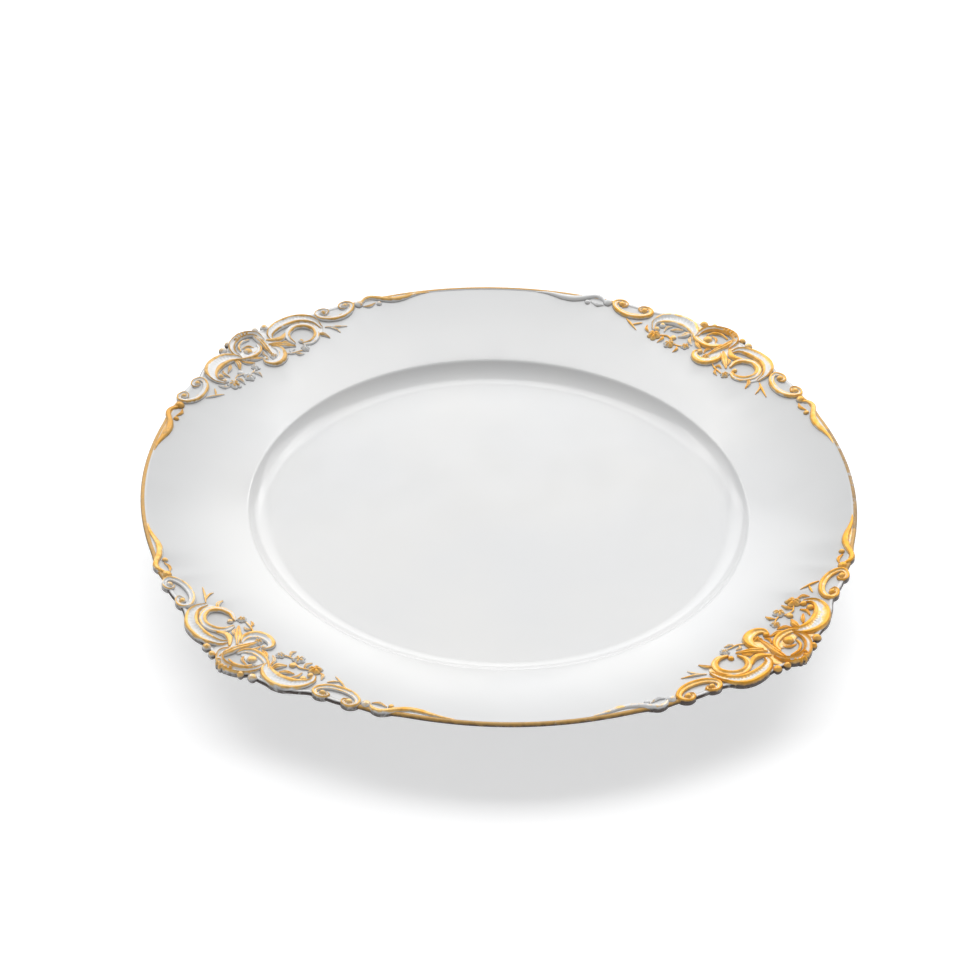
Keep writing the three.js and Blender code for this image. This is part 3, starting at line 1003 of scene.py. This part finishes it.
def make_gilding():
    """White glaze with worn gold where the relief stands highest, and a dark brown in its roots and under
    its edges: antique stain and painted shade.
    """
    m = Nodes("gilded_relief")
    gilt = m.attribute("gilt")
    wear = m.attribute("wear")
    fine = m.noise(1100, 3, 0.6)
    patch = m.noise(260, 2)
    rub = m.math("ADD", m.math("MULTIPLY", fine, 0.35), m.math("MULTIPLY", patch, 0.95))
    worn = m.math("SUBTRACT", m.math("ADD", gilt, 0.65), m.math("ADD", rub, wear))
    gold = m.ramp(worn, -0.1, 0.1)
    thin = m.ramp(worn, 0.0, 0.7)
    mottle = m.math("MULTIPLY", m.ramp(m.noise(420, 3), 0.5, 0.75), 0.5)
    deep = m.math("ADD", mottle, m.attribute("tarnish"))
    leaf = m.mix(deep, m.mix(thin, GOLD_PALE, GOLD), GOLD_DEEP)
    painted = m.mix(gold, glaze_body(m), leaf)
    # Painted shade and antique stain, mixed in as dark brown.
    shade_stain = m.math("MULTIPLY", m.attribute("shade"), m.ramp(m.noise(420, 2), 0.3, 0.6, 0.78, 1.3))
    dark = m.math("MINIMUM", shade_stain, 0.985)
    m.link(m.mix(dark, painted, SHADE_STAIN_BROWN), m.shader.inputs["Base Color"])
    clear = m.math("SUBTRACT", 1.0, dark)
    sheen = m.math("MULTIPLY", gold, m.ramp(deep, 0.0, 1.0, 0.5, 0.2))
    m.link(m.math("MULTIPLY", sheen, clear), m.shader.inputs["Metallic"])
    m.link(m.ramp(gold, 0.0, 1.0, 0.16, 0.46), m.shader.inputs["Roughness"])
    film = m.bump(gold, 0.2, 0.00005)
    m.link(m.bump(fine, 0.18, 0.00012, film), m.shader.inputs["Normal"])
    return m.material


def make_floor_finish():
    m = Nodes("pale_floor")
    tone = m.ramp(m.noise(3, 2), 0.3, 0.7)
    m.link(m.mix(tone, FLOOR_TONE, FLOOR_TONE_SHADE), m.shader.inputs["Base Color"])
    m.shader.inputs["Roughness"].default_value = 0.8
    m.shader.inputs["Emission Color"].default_value = (1, 1, 1, 1)
    m.shader.inputs["Emission Strength"].default_value = FLOOR_GLOW
    return m.material


# ---------------------------------------------------------------- the platter

glaze = make_glaze()
gilding = make_gilding()

make_dish(glaze)
make_foot(make_biscuit())

# Wear of the gilding, by cluster: low is nearly all gold, high leaves gold on the ridges only. The
# differences between the clusters are partly real wear and partly painted light, for how the light falls
# on each cluster's gold.
GILT_WEAR_AND_LIGHT = {"back_left": 0.74, "back_right": 0.52, "front_left": 0.68, "front_right": 0.32}
PART_WEAR = {
    "back_right_scroll_left": 0.84,
    "back_left_tail_scroll_left": 0.3,
    "back_left_floret_left": 0.88,
    "back_left_floret_right": 0.92,
    "front_right_floret_left": 0.5,
    "front_right_floret_right": 0.75,
    "back_right_tail_scroll_left": 1.3,
    "front_left_tail_scroll_right": 0.6,
    "front_left_cup_scroll_right": 0.8,
    "front_right_tail_scroll_right": 1.0,
}
TARNISH = {"back_left": 0.55, "back_right": 0.0, "front_left": 0.08, "front_right": 0.0}
# How dark the painted shade and stain under each cluster's edge are.
CLUSTER_SHADE_STAIN = {"back_left": 1.0, "back_right": 1.0, "front_left": 0.72, "front_right": 1.0}
RIM_WEAR = {"right": 0.85, "back": 0.5, "left": 0.45, "front": 0.7}
# a darker rim line, most on the right: painted shade with some stain
RIM_SHADE_STAIN = {"right": 0.35, "back": 0.0, "left": 0.0, "front": 0.08}
EDGE_WEAR = 0.6
EDGE_SHADE_STAIN = 0.0
EDGE_TARNISH = 0.85
PLAIN_HALF_ANGLE = 13.5
LOBED_HALF_ANGLE = 45 - PLAIN_HALF_ANGLE


def make_relief(cluster, part, side, draw):
    node = f"{cluster}_{part}"
    relief = Relief()
    draw(relief)
    wear = PART_WEAR.get(node, GILT_WEAR_AND_LIGHT[cluster])
    relief.lay(node, CLUSTERS[cluster], side, gilding, wear, TARNISH[cluster], CLUSTER_SHADE_STAIN[cluster])


for place, azimuth in PLAIN_STRETCHES.items():
    name = f"gilding_rim_{place}"
    nodes = [f"gilt_rim_{place}"]
    finish = (RIM_WEAR[place], RIM_SHADE_STAIN[place])
    make_edge_band(name, azimuth, PLAIN_HALF_ANGLE, gilding, nodes, *finish)

MIRRORED = {"cup_scroll": cup_scroll, "tail_scroll": tail_scroll}
SINGLE = {
    "shell_crest": shell_crest,
    "bud": bud,
    "scroll_left": scroll_left,
    "scroll_right": scroll_right,
    "floret_left": floret_left,
    "floret_right": floret_right,
}

for cluster, azimuth in CLUSTERS.items():
    name = f"gilding_edge_{cluster}"
    make_edge_band(name, azimuth, LOBED_HALF_ANGLE, gilding, [], EDGE_WEAR, EDGE_SHADE_STAIN)
    for part, draw in SINGLE.items():
        make_relief(cluster, part, 1, draw)
    for part, draw in MIRRORED.items():
        for hand, side in SIDES.items():
            make_relief(cluster, f"{part}_{hand}", side, draw)

# ---------------------------------------------------------------- floor, light and camera


def aim(thing, place, target):
    thing.location = place
    thing.rotation_mode = "QUATERNION"
    thing.rotation_quaternion = (Vector(target) - Vector(place)).to_track_quat("-Z", "Y")


FLOOR_SIZE = 4.0
WORLD_LIGHT = 0.45


def make_floor():
    bpy.ops.mesh.primitive_plane_add(size=FLOOR_SIZE, location=(0, 0, 0))
    floor = bpy.context.object
    floor.name = "floor"
    floor.data.materials.append(make_floor_finish())


LIGHT_DISTANCE = 1.6

# Soft boxes, each facing the dish: azimuth, elevation, width, height and radiance.
SOFT_BOXES = {
    "low_behind": (90, 23, 2.4, 0.7, 1.95),
    "mid_behind": (90, 45, 2.4, 0.35, 1.2),
    "high_behind": (90, 58, 2.4, 0.55, 3.1),
    "left_behind": (135, 35, 0.85, 0.85, 1.1),
    "right_behind": (45, 35, 0.85, 0.85, 1.9),
}


def make_soft_box(name, azimuth, elevation, width, height, radiance):
    light = bpy.data.lights.new(name, "AREA")
    light.shape = "RECTANGLE"
    light.size = width
    light.size_y = height
    light.energy = radiance * math.pi * width * height
    lamp = bpy.data.objects.new(name, light)
    bpy.context.scene.collection.objects.link(lamp)
    turn = math.radians(azimuth)
    rise = math.radians(elevation)
    level = math.cos(rise) * LIGHT_DISTANCE
    place = (math.cos(turn) * level, math.sin(turn) * level, math.sin(rise) * LIGHT_DISTANCE)
    aim(lamp, place, (0, 0, 0))


def make_world():
    world = bpy.data.worlds.new("studio")
    world.use_nodes = True
    background = world.node_tree.nodes["Background"]
    background.inputs["Color"].default_value = (1, 1, 1, 1)
    background.inputs["Strength"].default_value = WORLD_LIGHT
    bpy.context.scene.world = world


ELEVATION = math.radians(37.4)
TURN = math.radians(4.34)  # the camera stands this much to the left of straight in front
ROLL = math.radians(2.0)
DISTANCE = 7.1 * RIM_RADIUS * MM
LENS = 93.05
SENSOR_WIDTH = 36
SHIFT = (-0.0099, -0.0081)


def make_camera():
    data = bpy.data.cameras.new("camera")
    data.lens = LENS
    data.sensor_width = SENSOR_WIDTH
    data.shift_x, data.shift_y = SHIFT
    camera = bpy.data.objects.new("camera", data)
    bpy.context.scene.collection.objects.link(camera)
    target = Vector((0, 0, RIM_LEVEL * MM))
    level = math.cos(ELEVATION)
    away = Vector((-math.sin(TURN) * level, -math.cos(TURN) * level, math.sin(ELEVATION)))
    aim(camera, target + away * DISTANCE, target)
    roll = Matrix.Rotation(ROLL, 3, "Z").to_quaternion()
    camera.rotation_quaternion = camera.rotation_quaternion @ roll
    bpy.context.scene.camera = camera


make_floor()
make_world()
for box, setting in SOFT_BOXES.items():
    make_soft_box(box, *setting)
make_camera()
bpy.context.scene.view_settings.view_transform = "Standard"
